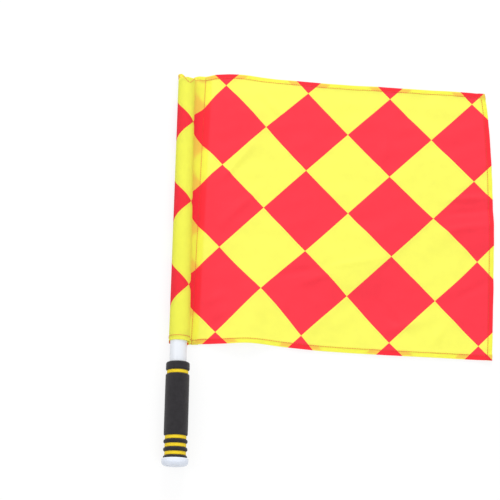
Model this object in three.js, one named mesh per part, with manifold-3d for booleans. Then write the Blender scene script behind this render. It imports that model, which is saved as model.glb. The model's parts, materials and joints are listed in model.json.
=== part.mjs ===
// Linesman flag: a diamond-printed cloth whose sewn sleeve turns freely on a white plastic staff with a
// banded foam grip and a white end cap. It lies on a table, as it does when it is put down.
// Millimetres. The origin is the centre of the end cap's butt face, +Y runs up the staff, +Z is up and
// the cloth lies towards +X.
import * as THREE from "three";
import { mergeVertices } from "three/addons/utils/BufferGeometryUtils.js";
import Module from "manifold-3d";

const wasm = await Module();
wasm.setup();

// Staff: a length of rigid plastic tube, cut to reach nearly to the top of the sleeve.
const tubeRadius = 10;
const tubeWall = 1.5;
const tubeEdgeBevel = 0.4;

// Grip: foam tubes stacked on the staff and glued, black ones at full size and yellow ones sunk between.
const foamWall = 4;
const bandRecess = 1.5;
const bandLength = 4.2;
const bandCorner = 0.7;
const shortRingLength = 4.3;
const shortRingCorner = 1.7;
const endRingLength = 2.8;
const endRingButtCorner = 0.4;
const mainSectionLength = 71.3;
const mainSectionCorner = 1.4;
const collarLength = 9.5;
const collarTipCorner = 2.2;

// End cap and tip plug: mouldings pushed into the tube's two ends on hollow, ribbed spigots.
const capLip = 1.5;
const capHeadLength = 8.5;
const capButtRounding = 4.5;
const capLipRounding = 1.3;
const capFloor = 3;
const capSpigotLength = 24;
const plugHeadLength = 4;
const plugDome = 2.6;
const plugFloor = 2.2;
const plugSpigotLength = 16;
const spigotWall = 1.6;
const spigotLeadIn = 1;
const ribCount = 6;
const ribHeight = 0.7;
const ribWidth = 1.4;

// Cloth: one sheet of printed polyester, hemmed on three sides, its fourth side folded back into a sleeve.
const clothHeight = 355.6;
const flyLength = 366.5;
const flyBow = 7.5;
const clothThickness = 0.5;
const hemWidth = 6.5;
const hemThickness = 0.45;
const hemStep = 1.8;
const seamAllowance = 8;
const seamBesideCrease = 5;
const stepDownLength = 8;
const sleeveSkew = THREE.MathUtils.degToRad(1.49);
const exposedTube = 26;
const creaseRadius = 1.6;
const sleeveDriftShare = 0.25;
const sideDropAtTip = 0.9;
const sideDropAtFoot = 5.5;
const mouthSlope = 6.5;
const mouthHeight = 9;
const mouthTuck = 4;
const ridgeHeight = 8;
const ridgeRunIn = 24;
const swellStart = 0.3;

// Clearances between neighbours.
const seatGap = 0.3;
const sleeveClearance = 0.3;
const layerGap = 0.35;
const cutOverrun = 1;

// Facets: steps round a turned piece, in a rounded corner, in the dome, and in each bend of the sheet.
const turnSteps = 40;
const cornerSteps = 3;
const domeSteps = 6;
const ribArcSteps = 3;
const loopStepsPerTurn = 18;
const creaseSteps = 3;
const sideSteps = 4;

// Sizes that follow from those above.
const gripRadius = tubeRadius + foamWall;
const bandRadius = gripRadius - bandRecess;
const capRadius = gripRadius + capLip;
const boreRadius = tubeRadius - tubeWall;
const barrelRadius = boreRadius - seatGap - ribHeight;
const halfCloth = clothThickness / 2;
const upperLayerHeight = halfCloth + clothThickness + layerGap;
const loopStep = (2 * Math.PI) / loopStepsPerTurn;
const snugRadius = (tubeRadius + sleeveClearance) / Math.cos(loopStep / 2) + halfCloth;

const white = () => new THREE.MeshStandardMaterial({ color: 0xeef1f6, roughness: 0.32, metalness: 0 });
const blackFoam = () => new THREE.MeshStandardMaterial({ color: 0x39373b, roughness: 0.95, metalness: 0 });
const yellowFoam = () => new THREE.MeshStandardMaterial({ color: 0xf8d423, roughness: 0.9, metalness: 0 });
const printedCloth = () => new THREE.MeshStandardMaterial({ color: 0xf3ee52, roughness: 0.8, metalness: 0 });

// The grip's stack, from the cap up: name, radius, length, rounding towards the butt and towards the tip.
const gripStack = [
  ["grip_end_ring", gripRadius, endRingLength, endRingButtCorner, shortRingCorner, blackFoam],
  ["grip_band_4", bandRadius, bandLength, bandCorner, bandCorner, yellowFoam],
  ["grip_ring_2", gripRadius, shortRingLength, shortRingCorner, shortRingCorner, blackFoam],
  ["grip_band_3", bandRadius, bandLength, bandCorner, bandCorner, yellowFoam],
  ["grip_ring_1", gripRadius, shortRingLength, shortRingCorner, shortRingCorner, blackFoam],
  ["grip_band_2", bandRadius, bandLength, bandCorner, bandCorner, yellowFoam],
  ["grip_main", gripRadius, mainSectionLength, mainSectionCorner, mainSectionCorner, blackFoam],
  ["grip_band_1", bandRadius, bandLength, bandCorner, bandCorner, yellowFoam],
  ["grip_collar", gripRadius, collarLength, mainSectionCorner, collarTipCorner, blackFoam],
];
const gripEnd = gripStack.reduce((end, [, , length]) => end + seatGap + length, capHeadLength);

// Places along the staff: the sleeve's foot edge, its shut end and the tube that fits between.
const mouthLength = hemWidth + hemStep + mouthSlope;
const footAt = gripEnd + exposedTube;
const tipRise = clothHeight - mouthLength;
const staffLength = footAt + tipRise * Math.cos(sleeveSkew) - sleeveClearance;
const tubeStart = capHeadLength + seatGap;
const tubeEnd = staffLength - plugHeadLength - seatGap;

// The end cap is fatter than the sleeved end of the staff, so the staff lies a little nose down: the
// cap's rim touches the table at one end, and the sleeve's lower layer does at the other.
const rimContact = capHeadLength - capLipRounding;
const rimToTip = tubeEnd - rimContact;
const tipRestHeight = snugRadius + halfCloth;
const restTilt = Math.acos(tipRestHeight / Math.hypot(capRadius, rimToTip))
  - Math.atan2(rimToTip, capRadius);
const buttHeight = capRadius * Math.cos(restTilt) + rimContact * Math.sin(restTilt);

// Height of the staff's axis above the table, at a distance along the table from the butt.
function axisHeight(along) {
  return buttHeight - along * Math.tan(restTilt);
}

// Points of an arc about a centre, from one angle to another.
function arcPoints(centre, radius, from, to, steps) {
  const points = [];
  for (let step = 0; step <= steps; step += 1) {
    const angle = THREE.MathUtils.lerp(from, to, step / steps);
    points.push(new THREE.Vector2(
      centre.x + radius * Math.cos(angle), centre.y + radius * Math.sin(angle)));
  }
  return points;
}

// The rounded edge of a turned piece, at its butt end or at its tip end.
function buttEdge(radius, rounding) {
  const centre = new THREE.Vector2(radius - rounding, rounding);
  return arcPoints(centre, rounding, -Math.PI / 2, 0, cornerSteps);
}

function tipEdge(radius, rounding, length) {
  const centre = new THREE.Vector2(radius - rounding, length - rounding);
  return arcPoints(centre, rounding, 0, Math.PI / 2, cornerSteps);
}

// Turns an outline about the staff's axis. An outline that stays off the axis is closed on itself.
function turned(outline) {
  const points = outline.slice();
  if (points[0].x > 0) {
    points.push(points[0].clone());
  }
  return new THREE.LatheGeometry(points, turnSteps);
}

function toSolid(geometry) {
  const bare = geometry.clone();
  bare.deleteAttribute("normal");
  bare.deleteAttribute("uv");
  const merged = mergeVertices(bare);
  return new wasm.Manifold(new wasm.Mesh({
    numProp: 3,
    vertProperties: new Float32Array(merged.attributes.position.array),
    triVerts: new Uint32Array(merged.index.array),
  }));
}

function toGeometry(solid) {
  const mesh = solid.getMesh();
  const geometry = new THREE.BufferGeometry();
  geometry.setAttribute("position", new THREE.Float32BufferAttribute(mesh.vertProperties, 3));
  geometry.setIndex(new THREE.Uint32BufferAttribute(mesh.triVerts, 1));
  geometry.computeVertexNormals();
  return geometry;
}

function named(name, geometry, material) {
  const mesh = new THREE.Mesh(geometry, material);
  mesh.name = name;
  return mesh;
}

// White tube, open right through, with its cut edges broken.
function poleTube() {
  const length = tubeEnd - tubeStart;
  const outline = [
    new THREE.Vector2(boreRadius + tubeEdgeBevel, 0),
    new THREE.Vector2(tubeRadius - tubeEdgeBevel, 0),
    new THREE.Vector2(tubeRadius, tubeEdgeBevel),
    new THREE.Vector2(tubeRadius, length - tubeEdgeBevel),
    new THREE.Vector2(tubeRadius - tubeEdgeBevel, length),
    new THREE.Vector2(boreRadius + tubeEdgeBevel, length),
    new THREE.Vector2(boreRadius, length - tubeEdgeBevel),
    new THREE.Vector2(boreRadius, tubeEdgeBevel),
  ];
  const tube = named("pole_tube", turned(outline), white());
  tube.position.y = tubeStart;
  return tube;
}

// The nine foam tubes of the grip, each a seat gap above the one below it.
function gripTubes() {
  const inner = tubeRadius + seatGap;
  let start = capHeadLength;
  return gripStack.map(([name, radius, length, buttRounding, tipRounding, material]) => {
    const outline = [
      new THREE.Vector2(inner, 0),
      ...buttEdge(radius, buttRounding),
      ...tipEdge(radius, tipRounding, length),
      new THREE.Vector2(inner, length),
    ];
    const foam = named(name, turned(outline), material());
    foam.position.y = start + seatGap;
    start += seatGap + length;
    return foam;
  });
}

// Spigot of a moulded plug: a barrel with crush ribs, whose ends slope so that it finds its way in.
function ribbedSpigot(length) {
  const ribTop = barrelRadius + ribHeight;
  const halfRib = Math.asin(ribWidth / 2 / barrelRadius);
  const pitch = (2 * Math.PI) / ribCount;
  const section = new THREE.Shape();
  for (let rib = 0; rib < ribCount; rib += 1) {
    const start = rib * pitch - halfRib;
    const end = rib * pitch + halfRib;
    if (rib === 0) {
      section.moveTo(barrelRadius * Math.cos(start), barrelRadius * Math.sin(start));
    }
    section.lineTo(ribTop * Math.cos(start), ribTop * Math.sin(start));
    section.lineTo(ribTop * Math.cos(end), ribTop * Math.sin(end));
    section.lineTo(barrelRadius * Math.cos(end), barrelRadius * Math.sin(end));
    section.absarc(0, 0, barrelRadius, end, (rib + 1) * pitch - halfRib, false);
  }
  const ribbed = new THREE.ExtrudeGeometry(section, {
    depth: length, steps: 1, curveSegments: ribArcSteps, bevelEnabled: false,
  });
  ribbed.rotateX(-Math.PI / 2);
  const leadIn = turned([
    new THREE.Vector2(0, -cutOverrun),
    new THREE.Vector2(boreRadius, -cutOverrun),
    new THREE.Vector2(boreRadius, length - spigotLeadIn),
    new THREE.Vector2(boreRadius - spigotLeadIn, length),
    new THREE.Vector2(0, length),
  ]);
  return toSolid(ribbed).intersect(toSolid(leadIn));
}

// A plug's head is turned with its outer face at the start, the spigot grows from its inner face, and
// one well cores both.
function mouldedPlug(name, headOutline, headLength, floor, spigotLength) {
  const wellRadius = barrelRadius - spigotWall;
  const length = headLength + spigotLength;
  const head = toSolid(turned(headOutline));
  const spigot = ribbedSpigot(spigotLength + cutOverrun).translate(0, headLength - cutOverrun, 0);
  const well = toSolid(turned([
    new THREE.Vector2(0, floor),
    new THREE.Vector2(wellRadius, floor),
    new THREE.Vector2(wellRadius, length + cutOverrun),
    new THREE.Vector2(0, length + cutOverrun),
  ]));
  return named(name, toGeometry(head.add(spigot).subtract(well)), white());
}

// White end cap: wider than the foam, flat at the butt and rounded round its rim.
function endCap() {
  const head = [
    new THREE.Vector2(0, 0),
    ...buttEdge(capRadius, capButtRounding),
    ...tipEdge(capRadius, capLipRounding, capHeadLength),
    new THREE.Vector2(0, capHeadLength),
  ];
  return mouldedPlug("end_cap", head, capHeadLength, capFloor, capSpigotLength);
}

// Tip plug: a low dome no wider than the tube, so that the staff can't cut through the sleeve.
function tipPlug() {
  const domeRadius = (tubeRadius ** 2 + plugDome ** 2) / (2 * plugDome);
  const domeSpan = Math.asin(tubeRadius / domeRadius);
  const dome = arcPoints(
    new THREE.Vector2(0, domeRadius), domeRadius, -Math.PI / 2, domeSpan - Math.PI / 2, domeSteps);
  const head = [
    new THREE.Vector2(0, 0),
    ...dome.slice(1),
    new THREE.Vector2(tubeRadius, plugHeadLength),
    new THREE.Vector2(0, plugHeadLength),
  ];
  const plug = mouldedPlug("tip_plug", head, plugHeadLength, plugFloor, plugSpigotLength);
  plug.rotation.x = Math.PI;
  plug.position.y = staffLength;
  return plug;
}

// The sleeve's loop in a section at a distance along the staff, with x from the axis and z from the
// table. It hangs on the staff and rests on the table, so it is snug at the tip and roomy at the foot.
function sleeveLoop(along) {
  const slack = axisHeight(along) - halfCloth - snugRadius;
  const radius = snugRadius + (slack * (1 + sleeveDriftShare ** 2)) / 2;
  const centre = new THREE.Vector2(sleeveDriftShare * slack, halfCloth + radius);
  const creaseCentreHeight = upperLayerHeight + creaseRadius;
  const creaseAngle = -Math.asin((centre.y - creaseCentreHeight) / (radius + creaseRadius));
  const creaseCentre = new THREE.Vector2(
    centre.x + (radius + creaseRadius) * Math.cos(creaseAngle), creaseCentreHeight);
  return { radius, centre, creaseAngle, creaseCentre };
}

const seamAtFoot = sleeveLoop(footAt).creaseCentre.x + seamBesideCrease;
const loopSteps = Math.ceil((Math.PI - sleeveLoop(footAt).creaseAngle) / loopStep);

// Past the staff's tip the sleeve has nothing in it and falls shut. This is its section at the top edge,
// from the crease round to the lower layer, in shares of the snug radius across and of its height up.
const mouthShares = [
  [1.15, 0.1], [0.75, 0.26], [0.35, 0.16], [-0.1, 0.42], [-0.6, 0.96], [-0.98, 0.72], [-1.0, 0.24],
  [-0.72, 0],
];
const mouth = new THREE.SplineCurve(mouthShares.map(([across, up]) => new THREE.Vector2(
  across * snugRadius, halfCloth + up * (mouthHeight - halfCloth))));

// The mouth's edge is drawn back where it dips, in shares of the snug radius across.
const tuckAcrossShare = 0.35;
const tuckReachShare = 0.7;

// Places of the section's points on the lower layer, from the loop to the end of the seam allowance.
const lowerShares = [0.35, 0.7, 1];

// The sheet's run at one height of the cloth, from the crease over the staff and back below the panel.
function sleeveRun(rise) {
  const loop = sleeveLoop(footAt + rise * Math.cos(sleeveSkew));
  const seamX = seamAtFoot + rise * Math.sin(sleeveSkew);
  const crease = arcPoints(
    loop.creaseCentre, creaseRadius, 1.5 * Math.PI, Math.PI + loop.creaseAngle, creaseSteps);
  const wrap = arcPoints(loop.centre, loop.radius, loop.creaseAngle, Math.PI, loopSteps);
  const sideRadius = loop.radius
    - THREE.MathUtils.lerp(sideDropAtFoot, sideDropAtTip, rise / clothHeight);
  const sideCentre = new THREE.Vector2(
    loop.centre.x - loop.radius + sideRadius, halfCloth + sideRadius);
  const side = arcPoints(sideCentre, sideRadius, Math.PI, 1.5 * Math.PI, sideSteps);
  const closing = THREE.MathUtils.smoothstep(rise, tipRise, clothHeight);
  const bend = [...crease, ...wrap.slice(1), ...side].map((point, index, all) => (
    point.lerp(mouth.getPointAt(index / (all.length - 1)), closing)));
  const end = seamX + seamAllowance * Math.cos(sleeveSkew);
  const lower = lowerShares.map((share) => new THREE.Vector2(
    THREE.MathUtils.lerp(bend[bend.length - 1].x, end, share), halfCloth));
  return { seamX, closing, points: [...bend, ...lower] };
}

// Soft ridges that the cloth lies in, each in shares of the ridge height, the fly's length and the
// cloth's height: how high, where across and up, how far it reaches each way, and its lean.
const swellShares = [
  { high: 1, across: 0.17, up: 0, reachAcross: 0.065, reachUp: 0.26, lean: 0.2 },
  { high: 0.6, across: 0.16, up: 0.86, reachAcross: 0.09, reachUp: 0.16, lean: -0.3 },
  { high: 0.45, across: 0.97, up: 0.46, reachAcross: 0.16, reachUp: 0.07, lean: 0 },
  { high: 0.35, across: 0.55, up: 0.3, reachAcross: 0.16, reachUp: 0.12, lean: 0.4 },
];

// How far the panel's lower face is off the table. It climbs onto the lower layer next to the seam.
function panelLift(across, rise) {
  const layered = 1 - THREE.MathUtils.smoothstep(across, seamAllowance, seamAllowance + stepDownLength);
  const free = THREE.MathUtils.smoothstep(across, seamAllowance, seamAllowance + ridgeRunIn);
  let swell = 0;
  for (const ridge of swellShares) {
    const off = across - ridge.across * flyLength - ridge.lean * (rise - ridge.up * clothHeight);
    const along = rise - ridge.up * clothHeight;
    swell += ridge.high * ridgeHeight * Math.exp(
      -((off / (ridge.reachAcross * flyLength)) ** 2) - (along / (ridge.reachUp * clothHeight)) ** 2);
  }
  return layered * (clothThickness + layerGap) + free * Math.max(0, swell - swellStart);
}

// The sheet's thickness: the hems on the fly, top and foot edges are folded double.
function panelThickness(across, rise, fly) {
  const inset = Math.min(fly - across, rise, clothHeight - rise);
  const hem = THREE.MathUtils.clamp((hemWidth + hemStep - inset) / hemStep, 0, 1);
  return clothThickness + hemThickness * hem * THREE.MathUtils.smoothstep(across, 0, seamAllowance);
}

// Columns of the panel between the fly's hem and the step down beside the seam, and rows of the sheet
// between the foot's hem and the staff's tip, as shares of the way.
const columnShares = [1, 0.87, 0.74, 0.61, 0.49, 0.38, 0.29, 0.21, 0.14, 0.07, 0];
const rowShares = [0, 0.1, 0.21, 0.34, 0.48, 0.62, 0.76, 0.88, 1];

// One row of the sheet: the middle line's points with the sheet's thickness at each.
function sheetRow(rise) {
  const { seamX, closing, points } = sleeveRun(rise);
  const fly = flyLength + flyBow * (1 - (2 * rise / clothHeight - 1) ** 2);
  const stepDown = seamAllowance + stepDownLength;
  const hemEnd = fly - hemWidth - hemStep;
  const columns = [
    fly,
    fly - hemWidth,
    ...columnShares.map((share) => THREE.MathUtils.lerp(stepDown, hemEnd, share)),
    seamAllowance,
    0,
  ];
  const panel = columns.map((across) => {
    const thickness = panelThickness(across, rise, fly);
    return {
      x: seamX + across * Math.cos(sleeveSkew),
      z: panelLift(across, rise) + thickness / 2,
      thickness,
    };
  });
  const sleeve = points.map((point) => ({ x: point.x, z: point.y, thickness: clothThickness }));
  const along = footAt + rise * Math.cos(sleeveSkew);
  return [...panel, ...sleeve].map((point) => {
    const off = (point.x / snugRadius - tuckAcrossShare) / tuckReachShare;
    const tuck = point.z > clothThickness ? mouthTuck * closing * Math.exp(-(off ** 2)) : 0;
    return { ...point, y: along - (point.x - seamX) * Math.tan(sleeveSkew) - tuck };
  });
}

// The sheet is thickened both ways off its middle line, across the section.
function faces(row) {
  return row.map((point, index) => {
    const before = row[Math.max(index - 1, 0)];
    const after = row[Math.min(index + 1, row.length - 1)];
    const run = new THREE.Vector2(after.x - before.x, after.z - before.z).normalize();
    const offset = run.multiplyScalar(point.thickness / 2);
    return {
      printed: [point.x + offset.y, point.y, point.z - offset.x],
      back: [point.x - offset.y, point.y, point.z + offset.x],
    };
  });
}

// Cloth: the whole sheet as one closed body, with its printed face, its back and its four edges.
function flagCloth() {
  const hemTop = clothHeight - hemWidth - hemStep;
  const rises = [
    0,
    hemWidth,
    ...rowShares.map((share) => THREE.MathUtils.lerp(hemWidth + hemStep, tipRise, share)),
    (tipRise + hemTop) / 2,
    hemTop,
    clothHeight - hemWidth,
    clothHeight,
  ];
  const rows = rises.map((rise) => faces(sheetRow(rise)));
  const columnCount = rows[0].length;
  const rowCount = rows.length;
  const positions = rows.flatMap((row) => row.flatMap((point) => [...point.printed, ...point.back]));
  const printed = (row, column) => 2 * (row * columnCount + column);
  const back = (row, column) => printed(row, column) + 1;
  const indices = [];
  const quad = (a, b, c, d) => indices.push(a, b, c, a, c, d);
  for (let row = 0; row + 1 < rowCount; row += 1) {
    for (let column = 0; column + 1 < columnCount; column += 1) {
      quad(printed(row, column), printed(row + 1, column),
        printed(row + 1, column + 1), printed(row, column + 1));
      quad(back(row, column), back(row, column + 1),
        back(row + 1, column + 1), back(row + 1, column));
    }
    const last = columnCount - 1;
    quad(printed(row, 0), back(row, 0), back(row + 1, 0), printed(row + 1, 0));
    quad(printed(row, last), printed(row + 1, last), back(row + 1, last), back(row, last));
  }
  for (let column = 0; column + 1 < columnCount; column += 1) {
    const last = rowCount - 1;
    quad(printed(0, column), printed(0, column + 1), back(0, column + 1), back(0, column));
    quad(printed(last, column), back(last, column), back(last, column + 1), printed(last, column + 1));
  }
  const geometry = new THREE.BufferGeometry();
  geometry.setAttribute("position", new THREE.Float32BufferAttribute(positions, 3));
  geometry.setIndex(indices);
  geometry.computeVertexNormals();
  const cloth = named("flag_cloth", geometry, printedCloth());
  cloth.position.z = -buttHeight;
  return cloth;
}

// The staff carries everything rigid, and lies at its tilt. The cloth turns about the staff's axis.
const staff = new THREE.Group();
staff.rotation.x = -restTilt;
staff.add(poleTube(), endCap(), tipPlug(), ...gripTubes());

const flag = new THREE.Group();
flag.add(staff, flagCloth());

export default flag;
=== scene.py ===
# Linesman flag: a white plastic staff with a banded foam grip and an end cap, and a diamond-printed
# cloth whose sewn sleeve turns on it. It lies on a table. Metres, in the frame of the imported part.
import json
import math

import bmesh
import bpy
from mathutils import Matrix, Vector, noise


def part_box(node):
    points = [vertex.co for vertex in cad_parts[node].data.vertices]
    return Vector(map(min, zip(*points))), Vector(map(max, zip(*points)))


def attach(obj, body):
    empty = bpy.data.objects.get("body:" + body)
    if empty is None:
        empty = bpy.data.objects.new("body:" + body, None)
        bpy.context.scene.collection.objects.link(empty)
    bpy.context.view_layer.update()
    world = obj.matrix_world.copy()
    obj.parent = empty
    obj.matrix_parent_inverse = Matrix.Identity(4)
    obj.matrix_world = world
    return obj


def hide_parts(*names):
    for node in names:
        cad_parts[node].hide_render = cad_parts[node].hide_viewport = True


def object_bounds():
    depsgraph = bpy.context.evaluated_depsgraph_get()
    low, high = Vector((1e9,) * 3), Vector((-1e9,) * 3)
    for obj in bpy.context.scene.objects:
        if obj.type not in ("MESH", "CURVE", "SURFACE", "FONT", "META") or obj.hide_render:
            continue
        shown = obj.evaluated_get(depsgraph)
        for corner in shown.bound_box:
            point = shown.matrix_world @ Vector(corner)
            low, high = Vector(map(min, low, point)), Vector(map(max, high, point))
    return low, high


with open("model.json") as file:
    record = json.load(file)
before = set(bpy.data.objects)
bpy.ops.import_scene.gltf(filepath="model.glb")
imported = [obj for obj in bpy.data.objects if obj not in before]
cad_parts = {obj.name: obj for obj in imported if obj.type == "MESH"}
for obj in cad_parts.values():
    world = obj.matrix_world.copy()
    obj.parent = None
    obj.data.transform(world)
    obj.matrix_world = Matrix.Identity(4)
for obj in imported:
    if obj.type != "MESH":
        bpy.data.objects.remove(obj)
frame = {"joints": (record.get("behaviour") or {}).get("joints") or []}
cad_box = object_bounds()
scene = bpy.context.scene
scene.view_settings.view_transform = "Standard"

# View: the flag is looked at from above, from a point over the table just past the butt of the staff,
# through a short telephoto lens.
camera_place = Vector((-0.0315, -0.1421, 1.2905))
camera_turn = [math.radians(angle) for angle in (17.251, -5.291, 0.682)]
lens_length = 80.2
sensor_width = 36.0

camera = bpy.data.objects.new("camera", bpy.data.cameras.new("camera"))
camera.data.lens = lens_length
camera.data.sensor_width = sensor_width
camera.data.clip_start = 0.05
camera.data.clip_end = 20
camera.location = camera_place
camera.rotation_euler = camera_turn
scene.collection.objects.link(camera)
scene.camera = camera

# Staff tube: rigid white PVC, extruded and sawn to length, with its cut edges broken. The two plugs
# close its ends, and the foam grip and the cloth's sleeve go over it. The axis on which the cloth
# turns is the staff's own, and points from its tip to its butt.
staff_axis = -Vector(frame["joints"][0]["axis"])
staff_tilt = math.atan2(-staff_axis.z, staff_axis.y)
lying = Matrix.Rotation(-staff_tilt, 4, "X")
tube_wall = 0.0015
tube_edge_break = 0.0004
turn_steps = 96
crisp_angle = math.radians(40)


def span_on_staff(node):
    """Where a turned CAD node starts and ends along the staff's axis, and its radius."""
    low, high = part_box(node)
    radius = (high.x - low.x) / 2
    rim = radius * math.sin(staff_tilt)
    start = (low.y + rim) / math.cos(staff_tilt)
    end = (high.y - rim) / math.cos(staff_tilt)
    return start, end, radius


def corner(radius, along, rounding, start, end, steps=6):
    """Points (radius, along) of a rounded edge, from one angle to another, in degrees."""
    angles = [math.radians(start + (end - start) * step / steps) for step in range(steps + 1)]
    return [(radius + rounding * math.cos(a), along + rounding * math.sin(a)) for a in angles]


def turn(bm, outline, steps=turn_steps, worked=None):
    """Turns a closed outline of points (radius, along) about the staff's axis into a bmesh. worked
    gives the radius at a point where the surface isn't quite round."""
    rings = []
    for radius, along in outline:
        if radius == 0:
            rings.append([bm.verts.new((0, along, 0))] * steps)
            continue
        ring = []
        for step in range(steps):
            angle = 2 * math.pi * step / steps
            reach = radius if worked is None else worked(radius, along, angle)
            ring.append(bm.verts.new((reach * math.cos(angle), along, reach * math.sin(angle))))
        rings.append(ring)
    pairs = list(zip(rings, rings[1:]))
    if outline[0][0] > 0:
        pairs.append((rings[-1], rings[0]))
    for one, other in pairs:
        for step in range(steps):
            after = (step + 1) % steps
            loop = [one[step], one[after], other[after], other[step]]
            corners = [v for at, v in enumerate(loop) if v not in loop[:at]]
            bm.faces.new(corners)


def piece_from(bm, name, material, body, node=None):
    bmesh.ops.recalc_face_normals(bm, faces=bm.faces)
    mesh = bpy.data.meshes.new(name)
    bm.to_mesh(mesh)
    bm.free()
    mesh.shade_smooth()
    mesh.set_sharp_from_angle(angle=crisp_angle)
    mesh.materials.append(material)
    piece = bpy.data.objects.new(name, mesh)
    scene.collection.objects.link(piece)
    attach(piece, body)
    if node:
        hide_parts(node)
    return piece


def plug_in(tree, node, sockets):
    """Sets or links a node's inputs. A key is an input's name, or its number after a low line."""
    for key, value in sockets.items():
        socket = node.inputs[int(key[1:])] if key[1:].isdigit() else node.inputs[key]
        if isinstance(value, bpy.types.NodeSocket):
            tree.links.new(value, socket)
        else:
            socket.default_value = value


def node_maker(tree):
    """A function that adds a node of some kind to the tree, with its settings and its inputs."""
    def add(kind, settings=None, **sockets):
        node = tree.nodes.new(kind)
        for key, value in (settings or {}).items():
            setattr(node, key, value)
        plug_in(tree, node, sockets)
        return node

    return add


def shader(name):
    """A new material: its node tree, a maker of nodes, and its Principled shader."""
    material = bpy.data.materials.new(name)
    material.use_nodes = True
    tree = material.node_tree
    return material, tree, node_maker(tree), tree.nodes["Principled BSDF"]


def two_tone(add, mark, from_colour, to_colour, start=0.0, end=1.0):
    """The colour that goes from one to another while a mark goes from start to end."""
    ramp_node = add("ShaderNodeValToRGB", _0=mark)
    first, last = ramp_node.color_ramp.elements
    first.position = start
    last.position = end
    first.color = (*from_colour, 1)
    last.color = (*to_colour, 1)
    return ramp_node.outputs[0]


def spread(add, mark, low, high, start=0.0, end=1.0):
    """The number that goes from low to high while a mark goes from start to end."""
    limits = {"From Min": start, "From Max": end, "To Min": low, "To Max": high}
    return add("ShaderNodeMapRange", _0=mark, **limits).outputs[0]


def white_plastic(name, colour, gloss_low, gloss_high, drawn):
    """White plastic with faint clouding and scuffs. drawn stretches these marks along the staff."""
    material, tree, add, plastic = shader(name)
    place = add("ShaderNodeTexCoord").outputs["Object"]
    along = add("ShaderNodeMapping", _0=place, Scale=(1, 1 / drawn, 1)).outputs[0]
    cloud = add("ShaderNodeTexNoise", _0=along, Scale=60.0, Detail=3.0).outputs[0]
    scuff = add("ShaderNodeTexNoise", _0=along, Scale=900.0, Detail=4.0).outputs[0]
    skin = add("ShaderNodeBump", Strength=0.25, Distance=0.00004, Height=scuff)
    clouded_colour = [channel * 0.975 for channel in colour]
    plug_in(tree, plastic, {
        "Base Color": two_tone(add, cloud, clouded_colour, colour, start=0.3, end=0.7),
        "Roughness": spread(add, scuff, gloss_low, gloss_high),
        "Normal": skin.outputs[0],
        "IOR": 1.5,
        "Subsurface Weight": 0.12,
        "Subsurface Radius": (0.002, 0.002, 0.002),
        "Subsurface Scale": 1.0,
    })
    return material


tube_start, tube_end, tube_radius = span_on_staff("pole_tube")
bore_radius = tube_radius - tube_wall
tube = bmesh.new()
turn(tube, [
    (bore_radius + tube_edge_break, tube_start),
    (tube_radius - tube_edge_break, tube_start),
    (tube_radius, tube_start + tube_edge_break),
    (tube_radius, tube_end - tube_edge_break),
    (tube_radius - tube_edge_break, tube_end),
    (bore_radius + tube_edge_break, tube_end),
    (bore_radius, tube_end - tube_edge_break),
    (bore_radius, tube_start + tube_edge_break),
])
bmesh.ops.transform(tube, matrix=lying, verts=tube.verts)
tube_white = white_plastic("tube_white", (0.77, 0.80, 0.85), 0.26, 0.4, drawn=14)
piece_from(tube, "staff_tube", tube_white, "staff", "pole_tube")

# End cap and tip plug: white polypropylene mouldings. Each is pushed into an end of the tube on a
# hollow spigot, whose crush ribs hold it. The cap has a broad rounded head, and the plug a low dome.
seat_gap = 0.0003
rib_height = 0.0007
rib_width = 0.0014
rib_count = 6
spigot_wall = 0.0016
spigot_lead_in = 0.001
well_rounding = 0.0005
cap_head = 0.0085
cap_floor = 0.003
cap_spigot = 0.024
cap_butt_rounding = 0.0045
cap_lip_rounding = 0.0013
cap_ring_radius = 0.0098
cap_ring_half_width = 0.0003
cap_ring_depth = 0.00018
cap_gate_radius = 0.0016
cap_gate_floor_radius = 0.00112
cap_gate_depth = 0.0001
plug_head = 0.004
plug_floor = 0.0022
plug_spigot = 0.016
plug_dome = 0.0026
barrel_radius = bore_radius - seat_gap - rib_height


def spigot(head, floor, length):
    """Outline of a hollow spigot, from where it leaves the head to the bottom of its well."""
    well_radius = barrel_radius - spigot_wall
    end = head + length
    return [
        (barrel_radius, head),
        (barrel_radius, end - spigot_lead_in),
        (barrel_radius - spigot_lead_in / 2, end),
        (well_radius, end),
        (well_radius, floor + well_rounding),
        (well_radius - well_rounding, floor),
        (0, floor),
    ]


def crush_ribs(bm, head, length):
    """Ribs along the spigot, which slope away at its end so that it finds its way in."""
    inner = barrel_radius - rib_height / 2
    outer = barrel_radius + rib_height
    end = head + length - spigot_lead_in
    for rib in range(rib_count):
        turned = Matrix.Rotation(2 * math.pi * rib / rib_count, 4, "Y")
        profile = [(inner, head), (outer, head), (outer, end - spigot_lead_in), (inner, end)]
        sides = []
        for side in (-rib_width / 2, rib_width / 2):
            sides.append([bm.verts.new(turned @ Vector((r, s, side))) for r, s in profile])
        bm.faces.new(sides[0])
        bm.faces.new(reversed(sides[1]))
        for at in range(len(profile)):
            after = (at + 1) % len(profile)
            bm.faces.new((sides[0][at], sides[1][at], sides[1][after], sides[0][after]))


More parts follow.
